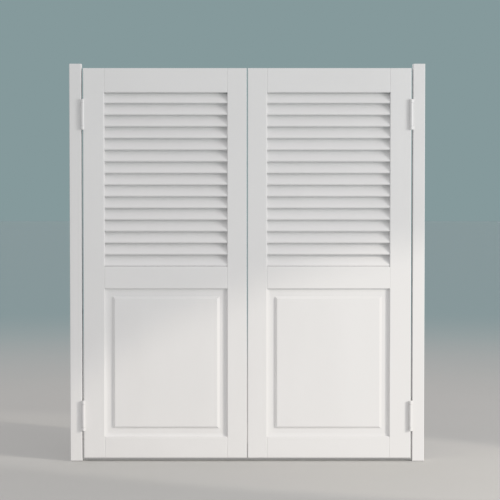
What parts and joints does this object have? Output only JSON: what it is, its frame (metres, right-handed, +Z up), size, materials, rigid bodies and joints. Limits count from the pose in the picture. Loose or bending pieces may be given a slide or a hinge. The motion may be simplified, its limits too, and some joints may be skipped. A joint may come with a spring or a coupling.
{
  "type": "cafe swinging doors",
  "caption": "Pair of white louvre-over-panel swinging doors between two wall strips; each leaf swings both ways on double-acting spring hinges and returns to closed.",
  "frame": {"origin": "midway between the two leaves, in the middle of their thickness, level with the bottom ends of the wall strips", "axes": "+Z up along the strips, +X to the right seen from the front, +Y to the rear"},
  "size_m": [0.9, 0.0446, 1.009],
  "materials": {
    "painted_frame": "white satin paint on close-grained wood",
    "painted_slats": "white satin paint on close-grained wood",
    "painted_panel": "white satin paint on a solid panel",
    "painted_strips": "white satin paint on close-grained wood",
    "painted_hinges": "white baked paint on pressed steel",
    "spring_steel": "oiled spring wire",
    "brass_bushes": "plain turned brass",
    "zinc_screws": "bright zinc plate"
  },
  "bodies": {
    "wall_strips": {"front_pins": "painted_hinges", "jamb_plate_screws": "zinc_screws", "left_jamb_plates": "painted_hinges", "left_wall_strip": "painted_strips", "right_jamb_plates": "painted_hinges", "right_wall_strip": "painted_strips"},
    "left_webs": {"left_hinge_bushes": "brass_bushes", "left_hinge_springs": "spring_steel", "left_hinge_webs": "painted_hinges"},
    "left_leaf": {"left_bottom_rail": "painted_frame", "left_hinge_stile": "painted_frame", "left_leaf_plate_screws": "zinc_screws", "left_leaf_plates": "painted_hinges", "left_louvre_slat_01": "painted_slats", "left_louvre_slat_02": "painted_slats", "left_louvre_slat_03": "painted_slats", "left_louvre_slat_04": "painted_slats", "left_louvre_slat_05": "painted_slats", "left_louvre_slat_06": "painted_slats", "left_louvre_slat_07": "painted_slats", "left_louvre_slat_08": "painted_slats", "left_louvre_slat_09": "painted_slats", "left_louvre_slat_10": "painted_slats", "left_louvre_slat_11": "painted_slats", "left_louvre_slat_12": "painted_slats", "left_louvre_slat_13": "painted_slats", "left_louvre_slat_14": "painted_slats", "left_louvre_slat_15": "painted_slats", "left_meeting_stile": "painted_frame", "left_mid_rail": "painted_frame", "left_raised_panel": "painted_panel", "left_rear_pins": "painted_hinges", "left_top_rail": "painted_frame"},
    "right_webs": {"right_hinge_bushes": "brass_bushes", "right_hinge_springs": "spring_steel", "right_hinge_webs": "painted_hinges"},
    "right_leaf": {"right_bottom_rail": "painted_frame", "right_hinge_stile": "painted_frame", "right_leaf_plate_screws": "zinc_screws", "right_leaf_plates": "painted_hinges", "right_louvre_slat_01": "painted_slats", "right_louvre_slat_02": "painted_slats", "right_louvre_slat_03": "painted_slats", "right_louvre_slat_04": "painted_slats", "right_louvre_slat_05": "painted_slats", "right_louvre_slat_06": "painted_slats", "right_louvre_slat_07": "painted_slats", "right_louvre_slat_08": "painted_slats", "right_louvre_slat_09": "painted_slats", "right_louvre_slat_10": "painted_slats", "right_louvre_slat_11": "painted_slats", "right_louvre_slat_12": "painted_slats", "right_louvre_slat_13": "painted_slats", "right_louvre_slat_14": "painted_slats", "right_louvre_slat_15": "painted_slats", "right_meeting_stile": "painted_frame", "right_mid_rail": "painted_frame", "right_raised_panel": "painted_panel", "right_rear_pins": "painted_hinges", "right_top_rail": "painted_frame"}
  },
  "joints": [
    {"name": "left_front_hinge", "type": "hinge", "parent": "wall_strips", "child": "left_webs", "pos_m": [-0.416, -0.0183, 0.5], "axis": [0, 0, 1], "range_deg": [-180, 0], "stiffness_Nm_per_rad": 4, "springref_deg": 34.38},
    {"name": "left_rear_hinge", "type": "hinge", "parent": "left_webs", "child": "left_leaf", "pos_m": [-0.416, 0.0183, 0.5], "axis": [0, 0, 1], "range_deg": [0, 180], "stiffness_Nm_per_rad": 4, "springref_deg": -34.38},
    {"name": "right_front_hinge", "type": "hinge", "parent": "wall_strips", "child": "right_webs", "pos_m": [0.416, -0.0183, 0.5], "axis": [0, 0, 1], "range_deg": [0, 180], "stiffness_Nm_per_rad": 4, "springref_deg": -34.38},
    {"name": "right_rear_hinge", "type": "hinge", "parent": "right_webs", "child": "right_leaf", "pos_m": [0.416, 0.0183, 0.5], "axis": [0, 0, 1], "range_deg": [-180, 0], "stiffness_Nm_per_rad": 4, "springref_deg": 34.38}
  ]
}
